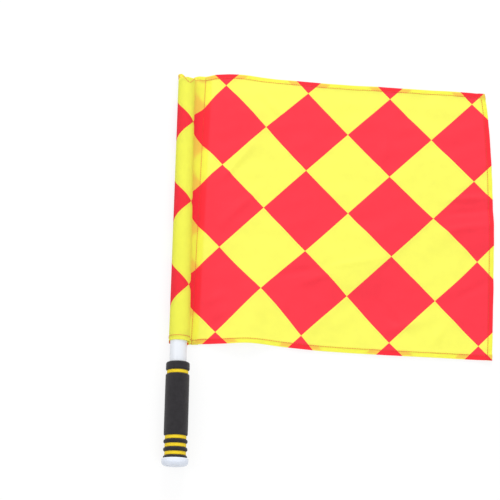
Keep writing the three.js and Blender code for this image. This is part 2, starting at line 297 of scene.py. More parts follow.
cap_radius = span_on_staff("end_cap")[2]
cap = bmesh.new()
turn(cap, [
    (0, cap_gate_depth),
    (cap_gate_floor_radius, cap_gate_depth),
    (cap_gate_radius, 0),
    (cap_ring_radius - cap_ring_half_width, 0),
    (cap_ring_radius, cap_ring_depth),
    (cap_ring_radius + cap_ring_half_width, 0),
    *corner(cap_radius - cap_butt_rounding, cap_butt_rounding, cap_butt_rounding, -90, 0, 12),
    *corner(cap_radius - cap_lip_rounding, cap_head - cap_lip_rounding, cap_lip_rounding, 0, 90),
    *spigot(cap_head, cap_floor, cap_spigot),
])
crush_ribs(cap, cap_head, cap_spigot)
bmesh.ops.transform(cap, matrix=lying, verts=cap.verts)
cap_white = white_plastic("cap_white", (0.745, 0.795, 0.895), 0.34, 0.48, drawn=1)
piece_from(cap, "butt_cap", cap_white, "staff", "end_cap")

plug_end = tube_end + seat_gap + plug_head
dome_radius = (tube_radius ** 2 + plug_dome ** 2) / (2 * plug_dome)
dome_span = math.degrees(math.asin(tube_radius / dome_radius))
plug = bmesh.new()
turn(plug, [
    (0, 0),
    *corner(0, dome_radius, dome_radius, -90, dome_span - 90, 12)[1:],
    (tube_radius, plug_head),
    *spigot(plug_head, plug_floor, plug_spigot),
])
crush_ribs(plug, plug_head, plug_spigot)
turned_over = Matrix.Translation((0, plug_end, 0)) @ Matrix.Rotation(math.pi, 4, "X")
bmesh.ops.transform(plug, matrix=lying @ turned_over, verts=plug.verts)
piece_from(plug, "tip_dome", cap_white, "staff", "tip_plug")

# Grip: nine tubes of soft closed-cell foam, cut square and glued on one above the other. The black
# ones are fatter, and the yellow ones sit sunk between them as bands.
foam_corner_steps = 7
foam_steps = 128
foam_row = 0.0022
foam_cut_row = 0.002
foam_bore_margin = 0.0005
foam_pitch_along = 60
foam_wave_pitch = 1.3
foam_wave_start = Vector((0, 0, 7))
foam_wave_mean = 0.6
foam_wave_swing = 0.4
foam_waviness = 0.00018
foam_dimple_pitch = 9
foam_dimples = 0.00007
black = (0.0215, 0.0195, 0.0228)
# Darker foam colours: painted shade in the pores, which the random mottling also reaches.
black_pit_shade_and_mottle = (0.0095, 0.0085, 0.01)
yellow = (0.915, 0.68, 0.023)
yellow_pit_shade_and_mottle = (0.84, 0.58, 0.0135)


def foam(name, colour, deep):
    """Matt foam: fine cut cells, whose pits get painted shade of the deep colour, and slow random shifts
    of tone towards it.
    """
    material, tree, add, skin = shader(name)
    place = add("ShaderNodeTexCoord").outputs["Object"]
    cells = add("ShaderNodeTexVoronoi", _0=place, Scale=1500.0)
    pits = spread(add, cells.outputs["Distance"], 0.0, 1.0, start=0.1, end=0.6)
    shade = add("ShaderNodeTexNoise", _0=place, Scale=170.0, Detail=3.0).outputs[0]
    mixed = add("ShaderNodeMath", {"operation": "MULTIPLY"}, _0=pits, _1=shade).outputs[0]
    grain = add("ShaderNodeBump", Strength=0.5, Distance=0.00012, Height=pits).outputs[0]
    swell = add("ShaderNodeBump", Strength=0.4, Distance=0.0004, Height=shade, Normal=grain)
    # The deep colour in the pits is painted shade; the mottling shifts the tone at random.
    plug_in(tree, skin, {
        "Base Color": two_tone(add, mixed, deep, colour, start=0.05, end=0.5),
        "Normal": swell.outputs[0],
        "Roughness": 0.88,
        "Specular IOR Level": 0.3,
        "Sheen Weight": 0.15,
        "Sheen Roughness": 0.5,
    })
    return material


foam_black = foam("foam_black", black, black_pit_shade_and_mottle)
foam_yellow = foam("foam_yellow", yellow, yellow_pit_shade_and_mottle)


def foam_tube(node, piece_name, butt_rounding, tip_rounding, crown, material):
    """One tube of foam in its CAD node's place. Its cut is a little uneven, and crown fattens it."""
    start, end, radius = span_on_staff(node)
    inner = tube_radius + seat_gap
    middle = (start + end) / 2
    half = (end - start) / 2
    rows = max(2, round((end - start - butt_rounding - tip_rounding) / foam_row))
    first = start + butt_rounding
    last = end - tip_rounding
    sides = [(radius, first + (last - first) * row / rows) for row in range(1, rows)]

    def uneven(reach, along, angle):
        if reach < inner + foam_bore_margin:
            return reach
        point = Vector((math.cos(angle), along * foam_pitch_along, math.sin(angle)))
        swing = noise.noise(point * foam_wave_pitch + foam_wave_start)
        wave = foam_wave_mean + foam_wave_swing * swing
        dimple = noise.noise(point * foam_dimple_pitch)
        fat = crown * (1 - ((along - middle) / half) ** 2)
        return reach - foam_waviness * wave - foam_dimples * dimple + fat

    tube_of_foam = bmesh.new()
    turn(tube_of_foam, [
        (inner, start),
        (inner + foam_cut_row, start),
        *corner(radius - butt_rounding, first, butt_rounding, -90, 0, foam_corner_steps),
        *sides,
        *corner(radius - tip_rounding, last, tip_rounding, 0, 90, foam_corner_steps),
        (inner + foam_cut_row, end),
        (inner, end),
    ], foam_steps, uneven)
    bmesh.ops.transform(tube_of_foam, matrix=lying, verts=tube_of_foam.verts)
    piece = piece_from(tube_of_foam, piece_name, material, "staff", node)
    return piece


square_cut = 0.0004
ring_rounding = 0.0017
band_rounding = 0.0007
cut_rounding = 0.0014
collar_rounding = 0.0022
black_crown = 0.0001
yellow_crown = 0.00015
foam_tube("grip_end_ring", "foam_end_ring", square_cut, ring_rounding, 0, foam_black)
for number in (4, 3, 2, 1):
    foam_tube(f"grip_band_{number}", f"foam_band_{number}", band_rounding, band_rounding,
              yellow_crown, foam_yellow)
for number in (2, 1):
    foam_tube(f"grip_ring_{number}", f"foam_ring_{number}", ring_rounding, ring_rounding,
              black_crown, foam_black)
foam_tube("grip_main", "foam_main", cut_rounding, cut_rounding, black_crown, foam_black)
foam_tube("grip_collar", "foam_collar", cut_rounding, collar_rounding, 0, foam_black)

# Cloth: one rectangle of thin polyester, printed with red diamonds on lemon yellow. Three of its edges
# are turned under twice and stitched as hems. The fourth is folded back round the staff and sewn down
# as a sleeve, so the printed side is outside all round.
cloth_height = 0.3556
fly_length = 0.3663
hem_width = 0.0065
hem_stitch_inset = 0.0056
seam_allowance = 0.008
seam_beside_crease = 0.005
sleeve_skew = math.radians(1.49)
exposed_tube = 0.026
layer_gap = 0.00018
lowest_layer = 0.00053
upper_layer = 0.0013
crease_angle_at_foot = math.radians(-38)
crease_angle_at_tip = math.radians(-12)
sleeve_flat_round = 0.1015
shoulder_flat = 0.0274
shoulder_angle_at_foot = math.radians(45)
shoulder_angle_at_tip = math.radians(28)
sleeve_ease = 0.00071
snug_radius = tube_radius + sleeve_ease
sleeve_drift_share = 0.25
side_drop_at_tip = 0.0009
side_drop_at_foot = 0.0055
mouth_start = 0.4852
mouth_length = 0.0080
mouth_height = 0.009
mouth_tuck = 0.0112
mouth_tuck_angle = math.radians(70)
mouth_tuck_spread = math.radians(39)
mouth_tuck_under = 0.0035
mouth_tuck_below = 0.026
mouth_tuck_above = 0.014
print_square = 0.0762
print_corner_across = 0.0265
print_corner_up = 0.341

table_height = cad_box[0].z
grip_top = span_on_staff("grip_collar")[1]
foot_at = grip_top + exposed_tube


def between(low, high, share):
    """The value at a share of the way from low to high."""
    return low + (high - low) * share


def eased(share):
    """Goes smoothly from 0 to 1 as share does."""
    share = min(max(share, 0.0), 1.0)
    return share * share * (3 - 2 * share)


def axis_height(along):
    """Height of the staff's axis over the table."""
    return -table_height - along * math.tan(staff_tilt)


def arc(centre, radius, start, end, steps):
    """Points of an arc from one angle to another."""
    angles = [between(start, end, step / steps) for step in range(steps + 1)]
    return [Vector((centre[0] + radius * math.cos(a), centre[1] + radius * math.sin(a)))
            for a in angles]


def sleeve_loop(along):
    """The sleeve's loop hangs on the staff and rests on the table: its radius and its centre."""
    slack = axis_height(along) - lowest_layer - snug_radius
    radius = snug_radius + slack * (1 + sleeve_drift_share ** 2) / 2
    return radius, Vector((sleeve_drift_share * slack, lowest_layer + radius))


# At the foot the seam is as far from the staff as it is in the CAD model, where the fold beside the
# sleeve is rounder and lower. From there it runs askew of the staff.
cad_crease_radius = 0.0016
foot_radius, foot_centre = sleeve_loop(foot_at)
foot_crease_reach = math.sqrt(
    (foot_radius + cad_crease_radius) ** 2
    - (foot_centre.y - upper_layer - cad_crease_radius) ** 2)
seam_at_foot = foot_centre.x + foot_crease_reach + seam_beside_crease

# Past the tip of the staff the sleeve is empty and falls shut: its section there, in shares of the snug
# radius across and of the mouth's height up, from the crease round to the lower layer.
mouth_shares = [(1.15, 0.1), (0.75, 0.26), (0.35, 0.16), (-0.1, 0.42), (-0.6, 0.96), (-0.98, 0.72),
                (-1.0, 0.24), (-0.72, 0.0)]


def curve_through(points, steps_each=24):
    """A smooth line through points, as close points."""
    ends = [points[0], *points, points[-1]]
    line = []
    for a, b, c, d in zip(ends, ends[1:], ends[2:], ends[3:]):
        for step in range(steps_each):
            t = step / steps_each
            line.append(0.5 * ((2 * b) + (c - a) * t + (2 * a - 5 * b + 4 * c - d) * t ** 2
                               + (3 * b - a - 3 * c + d) * t ** 3))
    return [*line, points[-1]]


def lengths_along(points):
    """How far along their line each of the points is."""
    lengths = [0.0]
    for one, other in zip(points, points[1:]):
        lengths.append(lengths[-1] + (other - one).length)
    return lengths


def step_at(lengths, wanted):
    """The number of the line's step that reaches the length wanted, and what share of it is needed."""
    for at in range(1, len(lengths)):
        if lengths[at] >= wanted:
            step = lengths[at] - lengths[at - 1]
            return at, (wanted - lengths[at - 1]) / step if step else 0.0
    return len(lengths) - 1, 1.0


ramp_pull = 0.6
seam_lead_in = 0.01
ramp_steps = 14
wrap_steps = 46
side_steps = 12
lower_steps = 12
allowance_steps = 4


def ramp(seam, crease, crease_angle):
    """The strip between the seam and the sleeve's round: it rises from flat into the round's side."""
    start = Vector((seam, upper_layer))
    steep = Vector((-math.sin(crease_angle), math.cos(crease_angle)))
    lead_out = start - Vector((ramp_pull * (seam - crease.x), 0))
    lead_in = crease - steep * ramp_pull * (crease.y - upper_layer)
    points = []
    for step in range(ramp_steps):
        t = step / ramp_steps
        points.append((1 - t) ** 3 * start + 3 * (1 - t) ** 2 * t * lead_out
                      + 3 * (1 - t) * t ** 2 * lead_in + t ** 3 * crease)
    return points


def sleeve_bend(up, seam, radius, centre):
    """The sheet from the seam over the staff and down to the table: its points (across, height over the
    table), and the angle round the staff that each belongs to."""
    crease_angle = between(crease_angle_at_foot, crease_angle_at_tip, up)
    wrap = arc(centre, radius, crease_angle, math.pi, wrap_steps)
    side_radius = radius - between(side_drop_at_foot, side_drop_at_tip, up)
    side_centre = (centre.x - radius + side_radius, lowest_layer + side_radius)
    side = arc(side_centre, side_radius, math.pi, 1.5 * math.pi, side_steps)
    angles = [crease_angle] * ramp_steps
    angles += [between(crease_angle, math.pi, step / wrap_steps) for step in range(wrap_steps + 1)]
    angles += [between(math.pi, 1.5 * math.pi, step / side_steps) for step in range(1, side_steps + 1)]
    return [*ramp(seam, wrap[0], crease_angle), *wrap, *side[1:]], angles


def flat_bend(run, crease_angle, up):
    """Where the bend's points, known by their lengths along it, are on the flat cloth. The print says
    which line of the cloth lies on the shoulder."""
    shoulder_angle = between(shoulder_angle_at_foot, shoulder_angle_at_tip, up)
    turned = (shoulder_angle - crease_angle) / (math.pi - crease_angle) * wrap_steps
    before = ramp_steps + int(turned)
    to_shoulder = between(run[before], run[before + 1], turned - int(turned))
    flat = []
    for reach in run:
        if reach <= to_shoulder:
            flat.append(-shoulder_flat * reach / to_shoulder)
        else:
            flat.append(-shoulder_flat - (reach - to_shoulder))
    return flat


def stitch_pull(rise):
    """How strongly the stitches of the mouth pull at the sleeve: 1 at the stitches, less around them."""
    from_stitch = rise - cloth_height + hem_stitch_inset
    from_stitch /= mouth_tuck_above if from_stitch > 0 else mouth_tuck_below
    return math.exp(-from_stitch * from_stitch)


def shut_mouth(bend, run, flat, tucks, along, rise):
    """The bend past the tip of the staff, where it goes over into the empty sleeve's section."""
    mouth = [bend[0]] + [
        Vector((across * snug_radius, lowest_layer + high * (mouth_height - lowest_layer)))
        for across, high in mouth_shares]
    mouth_line = curve_through(mouth)
    mouth_lengths = lengths_along(mouth_line)
    points = []
    for at, point in enumerate(bend):
        place = along - creep(flat[at], rise) - tucks[at]
        step, share = step_at(mouth_lengths, run[at] / run[-1] * mouth_lengths[-1])
        fallen = mouth_line[step - 1].lerp(mouth_line[step], share)
        points.append(point.lerp(fallen, eased((place - mouth_start) / mouth_length)))
    return points


def lower_layer(last, last_flat, seam, radius, centre, pull):
    """The sheet below the staff, from the last point of the bend to the raw edge past the seam: its
    points, their places on the flat cloth, and how far each is tucked at the mouth."""
    near_seam = seam - seam_lead_in
    points = []
    flat = []
    tucks = []
    for step in range(1, lower_steps + 1):
        x = between(last.x, seam, step / lower_steps)
        points.append(Vector((x, lowest_layer)))
        flat_here = -sleeve_flat_round + (seam - x)
        if x < near_seam:
            share = (x - last.x) / (near_seam - last.x)
            flat_here = between(last_flat, -sleeve_flat_round + (seam - near_seam), share)
        flat.append(flat_here)
        from_middle = (x - centre.x) / radius
        tucks.append(mouth_tuck_under * pull * math.exp(-from_middle ** 4))
    for step in range(1, allowance_steps + 1):
        reach = seam_allowance * step / allowance_steps
        points.append(Vector((seam + reach, lowest_layer)))
        flat.append(-sleeve_flat_round - reach)
        tucks.append(0.0)
    return points, flat, tucks


def sleeve_run(rise):
    """The sheet's run at one height, from the seam over the staff and back below to its raw edge: the
    seam's place across, and the run's points, their places on the flat cloth, and their tucks."""
    up = rise / cloth_height
    along = foot_at + rise * math.cos(sleeve_skew)
    seam = seam_at_foot + rise * math.sin(sleeve_skew)
    radius, centre = sleeve_loop(along)
    bend, angles = sleeve_bend(up, seam, radius, centre)
    run = lengths_along(bend)
    flat = flat_bend(run, angles[0], up)
    pull = stitch_pull(rise)
    tucks = [mouth_tuck * pull * math.exp(-((angle - mouth_tuck_angle) / mouth_tuck_spread) ** 2)
             for angle in angles]
    if along > mouth_start:
        bend = shut_mouth(bend, run, flat, tucks, along, rise)
    lower, lower_flat, lower_tucks = lower_layer(bend[-1], flat[-1], seam, radius, centre, pull)
    return seam, [*bend, *lower], [*flat, *lower_flat], [*tucks, *lower_tucks]


# The cloth has crept towards the butt: at the seam first and the rest on the sleeve. A stage is its
# share of the creep, and where on the flat cloth it sets in and within what length.
creep_at_foot = 0.0020
creep_at_tip = 0.0062
creep_stages = [(0.65, 0.016, 0.018), (0.35, -0.012, 0.014)]


def creep(flat, rise):
    """How far the cloth has crept towards the butt."""
    whole = between(creep_at_foot, creep_at_tip, rise / cloth_height)
    return whole * sum(share * eased((start - flat) / length) for share, start, length in creep_stages)


# The foot hem is turned up a little deeper on the sleeve, on the strip beside it, and again where the
# seam grips it. These are distances on the flat cloth from the seam, back round the staff.
foot_turned_up = 0.0013
strip_turned_up = 0.0026
foot_turned_up_reach = 0.03
sleeve_turn_start = 0.006
sleeve_turn_start_length = 0.014
sleeve_turn_end = 0.068
sleeve_turn_end_length = 0.012
grip_turn_start = 0.0955
grip_turn_length = 0.006
strip_turn_middle = 0.0065
strip_turn_reach = 0.0045


def foot_turn(flat, rise):
    """How much deeper than its hem the foot is turned up."""
    back = -flat
    on_sleeve = eased((back - sleeve_turn_start) / sleeve_turn_start_length)
    on_sleeve *= eased((sleeve_turn_end - back) / sleeve_turn_end_length)
    in_seam = eased((back - grip_turn_start) / grip_turn_length)
    on_strip = math.exp(-((back - strip_turn_middle) / strip_turn_reach) ** 2)
    turned_up = foot_turned_up * (on_sleeve + in_seam) + strip_turned_up * on_strip
    return turned_up * (1 - eased(rise / foot_turned_up_reach))


# Soft ridges of the panel: height, place across and up, reach across and up, and lean, in shares of the
# cloth's width and height. The first lifts the foot hem near the sleeve.
ridge_height = 0.008
ridges = [
    (1.0, 0.17, 0.0, 0.065, 0.26, 0.2),
    (0.6, 0.16, 0.86, 0.09, 0.16, -0.3),
    (0.45, 0.97, 0.46, 0.16, 0.07, 0.0),
    (0.35, 0.55, 0.3, 0.16, 0.12, 0.4),
]
ridge_start = 0.0003
ridge_run_in = 0.024
step_down = 0.008

# Small creases that the cloth keeps from being rolled up: place across and up, length and width, height
# (all in metres) and the direction in degrees from across.
creases = [
    (0.045, 0.236, 0.052, 0.0038, 0.0032, 52),
    (0.050, 0.176, 0.060, 0.0050, 0.0029, 48),
    (0.128, 0.098, 0.044, 0.0042, -0.0032, 14),
    (0.148, 0.090, 0.040, 0.0040, 0.0023, 24),
    (0.190, 0.112, 0.068, 0.0032, 0.0020, 14),
    (0.018, 0.052, 0.030, 0.0045, 0.0032, 40),
    (0.030, 0.028, 0.034, 0.0040, -0.0023, 38),
    (0.340, 0.208, 0.050, 0.0042, 0.0029, 8),
    (0.342, 0.190, 0.050, 0.0042, -0.0026, 10),
    (0.336, 0.168, 0.048, 0.0042, 0.0026, 12),
    (0.345, 0.088, 0.046, 0.0045, -0.0023, 30),
    (0.240, 0.050, 0.050, 0.0050, -0.0026, -42),
    (0.256, 0.036, 0.046, 0.0050, 0.0023, 20),
    (0.300, 0.026, 0.036, 0.0045, 0.0017, 62),
    (0.086, 0.318, 0.036, 0.0042, 0.0020, -50),
    (0.012, 0.310, 0.040, 0.0032, 0.0017, 78),
    (0.232, 0.262, 0.040, 0.0060, 0.0023, 80),
]


def ridge_lift(across, rise):
    """How far the soft ridges lift the panel off the table."""
    swell = 0.0
    for high, centre_across, centre_up, reach_across, reach_up, lean in ridges:
        along = rise - centre_up * cloth_height
        off = across - centre_across * fly_length - lean * along
        swell += high * ridge_height * math.exp(
            -(off / (reach_across * fly_length)) ** 2 - (along / (reach_up * cloth_height)) ** 2)
    return max(0.0, swell - ridge_start)


# Faint unevenness of handled cloth: its height, how much of that is always there, its waves per metre
# across and up in each of two directions, and its start.
unevenness = [
    (0.0010, 1, (14, 0), (0, 14), 3),
    (0.0013, 0, (26, 10), (-18, 48), 5),
    (0.00035, 0, (55, 0), (0, 55), 9),
]


def crease_lift(across, rise):
    """How far the small creases and the unevenness lift the cloth."""
    lift = 0.0
    for centre_across, centre_up, length, width, high, degrees in creases:
        turn_by = math.radians(degrees)
        x = across - centre_across
        y = rise - centre_up
        run = (x * math.cos(turn_by) + y * math.sin(turn_by)) / (length / 2)
        off = (y * math.cos(turn_by) - x * math.sin(turn_by)) / width
        lift += high * math.exp(-run * run - off * off)
    for high, steady, (a, b), (c, d), start in unevenness:
        wave = noise.noise(Vector((a * across + b * rise, c * across + d * rise, start)))
        lift += high * (steady + wave)
    return lift


# A stitched hem draws in: it dips along the stitches, and wavers beside them. A waver is its share, its
# waves per metre and its start.
hem_step = 0.003
pucker_height = 0.00035
pucker_offset = 0.004
pucker_reach = 0.006
pucker_wavers = [(1, 95, 5), (0.5, 210, 8)]
stitch_dip = 0.0001
stitch_dip_reach = 0.0009


def hem_share(inset):
    """1 on a hem, going down to 0 just past it."""
    return 1 - eased((inset - hem_width) / hem_step)


def pucker(inset, run):
    """How far the cloth is lifted beside a hem's stitches, at an inset from its edge."""
    past_stitches = inset - hem_stitch_inset
    waver = sum(
        share * noise.noise(Vector((run * waves, 0, start))) for share, waves, start in pucker_wavers)
    beside = math.exp(-((past_stitches - pucker_offset) / pucker_reach) ** 2)
    dip = math.exp(-(past_stitches / stitch_dip_reach) ** 2)
    return pucker_height * waver * beside - stitch_dip * dip


# The edges of the panel are not quite straight. The fly edge bows out and is tucked in at its top
# corner. The foot and the top are drawn up or down in places: how far, the place across, and the reach.
fly_bow = 0.0053
fly_top_gain = 0.0034
corner_tuck = 0.0032
corner_tuck_reach = 0.021
foot_draws = [(0.0037, 0.080, 0.046), (-0.0006, 0.230, 0.055)]
top_draws = [(0.0012, 0.045, 0.022), (-0.0014, 0.165, 0.060)]
top_fly_gain = 0.0007
top_fly_gain_start = 0.27
top_fly_gain_length = 0.05
draw_reach = 0.09


def fly_at(rise):
    """How far the fly edge is from the seam."""
    up = rise / cloth_height
    tuck = corner_tuck * math.exp((rise - cloth_height) / corner_tuck_reach)
    return fly_length + fly_bow * (1 - (2 * up - 1) ** 2) + fly_top_gain * up - tuck


def drawn_up(draws, across):
    """How far an edge is drawn up at a place across."""
    return sum(far * math.exp(-((across - place) / reach) ** 2) for far, place, reach in draws)


def edge_shift(across, rise):
    """How far a place of the panel is up from where straight edges would put it."""
    top = drawn_up(top_draws, across)
    top += top_fly_gain * eased((across - top_fly_gain_start) / top_fly_gain_length)
    near_foot = 1 - eased(rise / draw_reach)
    near_top = eased((rise - cloth_height + draw_reach) / draw_reach)
    return drawn_up(foot_draws, across) * near_foot + top * near_top


# The panel lies a little clear of the table, and the seam's stitches draw it down.
panel_ease = 0.0004
seam_draw = 0.00035
seam_draw_reach = 0.0011


def panel_height(across, rise, fly):
    """Height over the table of the panel's top layer. Each hem wavers in its own way."""
    foot_hem, top_hem, fly_hem = (hem_share(i) for i in (rise, cloth_height - rise, fly - across))
    side_hem = max(foot_hem, top_hem)
    layers = (1 + 2 * side_hem) * (1 + 2 * fly_hem)
    single = lowest_layer + layer_gap * (layers - 1)
    beside = 1 - eased((across - seam_allowance) / step_down)
    free = eased((across - seam_allowance) / ridge_run_in)
    lift = ridge_lift(across, rise) + crease_lift(across, rise)
    lift += pucker(rise, across) + pucker(cloth_height - rise, across + 1)
    lift += pucker(fly - across, rise + 2) + panel_ease
    seam_dip = seam_draw * math.exp(-(across / seam_draw_reach) ** 2)
    return between(single, upper_layer, beside) + free * max(0.0, lift) - seam_dip


def skewed(x, seam, rise):
    """How far along the staff a point at x of the sheet's row is. Rows are square to the seam."""
    return foot_at + rise * math.cos(sleeve_skew) - (x - seam) * math.tan(sleeve_skew)


# The rows run close together at the hems. From the fly edge a row's points are given by their inset in
# the hem, then by their share of the panel, and then by their share of the allowance beside the seam.
edge_insets = [0, 0.0004, 0.001, 0.002, 0.0032, 0.0044, 0.0054, 0.0065, 0.0078, 0.0094, 0.012]
panel_steps = 124
panel_shares = [(None, inset) for inset in edge_insets]
panel_shares += [(1 - step / panel_steps, None) for step in range(1, panel_steps + 1)]
allowance_shares = (0.75, 0.5, 0.25, 0.08)


def sheet_row(rise):
    """One row of the sheet's top layer, from the fly edge to the raw edge below the panel: points, and
    their places across and up on the flat cloth."""
    seam, run, run_flat, tucks = sleeve_run(rise)
    fly = fly_at(rise)
    points = []
    flat = []
    for share, inset in panel_shares:
        if share is None:
            across = fly - inset
        else:
            across = between(seam_allowance, fly - edge_insets[-1], share)
        x = seam + across * math.cos(sleeve_skew)
        along = skewed(x, seam, rise) + edge_shift(across, rise) - creep(across, rise)
        points.append(Vector((x, along, panel_height(across, rise, fly))))
        flat.append(across)
    for share in allowance_shares:
        across = seam_allowance * share
        x = seam + across * math.cos(sleeve_skew)
        along = skewed(x, seam, rise) - creep(across, rise)
        points.append(Vector((x, along, panel_height(across, rise, fly))))
        flat.append(across)
    ups = [rise] * len(points)
    for at, point in enumerate(run):
        dip = seam_draw if at == 0 else 0.0
        turned_up = foot_turn(run_flat[at], rise)
        along = skewed(point.x, seam, rise) - creep(run_flat[at], rise) - tucks[at] + turned_up
        points.append(Vector((point.x, along, point.y - dip)))
        flat.append(run_flat[at])
        ups.append(rise + turned_up)
    return points, flat, ups


middle_rows = 118
lowest_middle = edge_insets[-1]
highest_middle = cloth_height - edge_insets[-1]
rises = list(edge_insets)
rises += [between(lowest_middle, highest_middle, row / middle_rows) for row in range(1, middle_rows)]
rises += [cloth_height - inset for inset in reversed(edge_insets)]

grid = []
flats = []
heights = []
for rise in rises:
    points, flat, ups = sheet_row(rise)
    grid.append([point + Vector((0, 0, table_height)) for point in points])
    flats.append(flat)
    heights.append(ups)
row_count = len(grid)
column_count = len(grid[0])


def printed_side(row, column):
    """The way that the printed side of the sheet faces."""
    up = grid[min(row + 1, row_count - 1)][column] - grid[max(row - 1, 0)][column]
    back = grid[row][min(column + 1, column_count - 1)] - grid[row][max(column - 1, 0)]
    return up.cross(back).normalized()


facing = [[printed_side(row, column) for column in range(column_count)] for row in range(row_count)]

# The sheet is walked from the raw edge tucked into one hem, round the hem's two folds, over the whole
# width or height, and into the other hem. A step of a walk is a row or column, and the part it is on.
hem_lines = 8
raw_line = 2
hem_steps = [(at, "tucked") for at in range(raw_line, hem_lines)]
hem_steps += [(hem_lines - 1, "turn")]
hem_steps += [(at, "under") for at in range(hem_lines - 1, -1, -1)]
hem_steps += [(0, "edge")]
row_walk = hem_steps + [(row, "top") for row in range(row_count)]
row_walk += [(row_count - 1 - at, part) for at, part in reversed(hem_steps)]
column_walk = hem_steps + [(column, "top") for column in range(column_count)]


def depth_in_hem(part, thick, below):
    """How many layers down a part lies in a hem of cloth that is itself thick layers thick, for its
    layer that is below that many others. With it, how far the part's fold stands out of the hem."""
    return {
        "top": (below, 0),
        "edge": (thick + below, thick),
        "under": (2 * thick + below, 0),
        "turn": (2 * thick - 0.5, -0.5 - below),
        "tucked": (2 * thick - 1 - below, 0),
    }[part]


def print_in_hem(part, inset):
    """The inset from the hem's edge, measured on along the print as it goes round the hem."""
    turned = edge_insets[hem_lines - 1]
    return {"top": inset, "edge": 0, "under": -inset, "turn": -turned,
            "tucked": inset - 2 * turned}[part]


def sheet_point(row, row_part, column, column_part):
    """A point of the folded sheet, and its place on the flat cloth."""
    point = grid[row][column].copy()
    at_foot = row < row_count / 2
    edge = heights[0][column] if at_foot else cloth_height
    inset = abs(edge - heights[row][column])
    side_hem = max(hem_share(rises[row]), hem_share(cloth_height - rises[row]))
    below, row_out = depth_in_hem(row_part, 1, 0)
    depth, column_out = depth_in_hem(column_part, 1 + 2 * side_hem, below)
    point -= facing[row][column] * layer_gap * depth
    if row_out:
        inside = 1 if at_foot else -1
        away = (grid[row][column] - grid[row + inside][column]).normalized()
        point += away * layer_gap * row_out
    if column_out:
        away = (grid[row][column] - grid[row][column + 1]).normalized()
        point += away * layer_gap * column_out
    up = heights[row][column]
    if row_part != "top":
        up = edge + print_in_hem(row_part, inset) * (1 if at_foot else -1)
    across = flats[row][column]
    if column_part != "top":
        across = flats[row][0] - print_in_hem(column_part, flats[row][0] - across)
    return point, (across, up)


# Cutting and sewing have pulled the print a little askew. A pull is its place across and up, its reach,
# and how far it has moved the print across and up.
print_shift = Vector((0.0005, -0.0007))
print_pull_start = 0.015
print_pulls = [
    (0.101, 0.063, 0.058, -0.0014, 0.0050),
    (0.027, 0.060, 0.102, 0.0015, -0.0033),
    (0.203, 0.270, 0.111, -0.0029, -0.0018),
    (0.186, -0.020, 0.086, -0.0050, -0.0027),
    (0.310, 0.120, 0.042, 0.0037, 0.0005),
    (0.000, 0.300, 0.024, 0.0010, -0.0022),
]


def print_place(across, up):
    """Where this place of the flat cloth is on the print's even pattern."""
    moved = print_shift.copy()
    on_panel = eased((across + print_pull_start) / print_pull_start)
    for at_across, at_up, reach, right, higher in print_pulls:
        away = ((across - at_across) ** 2 + (up - at_up) ** 2) / reach ** 2
        moved += Vector((right, higher)) * math.exp(-away) * on_panel
    return across - moved.x, up - moved.y


cloth = bmesh.new()
cut_place = cloth.loops.layers.uv.new("cut")
walked = []
for row, row_part in row_walk:
    line = []
    for column, column_part in column_walk:
        point, place = sheet_point(row, row_part, column, column_part)
        line.append((cloth.verts.new(point), print_place(*place)))
    walked.append(line)
for lower_line, upper_line in zip(walked, walked[1:]):
    for at in range(len(lower_line) - 1):
        corners = [lower_line[at], upper_line[at], upper_line[at + 1], lower_line[at + 1]]
        face = cloth.faces.new([vertex for vertex, place in corners])
        face.smooth = True
        for loop, (vertex, place) in zip(face.loops, corners):
            loop[cut_place].uv = place

yellow_print = (0.965, 0.96, 0.138)
red_print = (0.985, 0.046, 0.076)
half_wick = 0.00009
see_through = 0.45


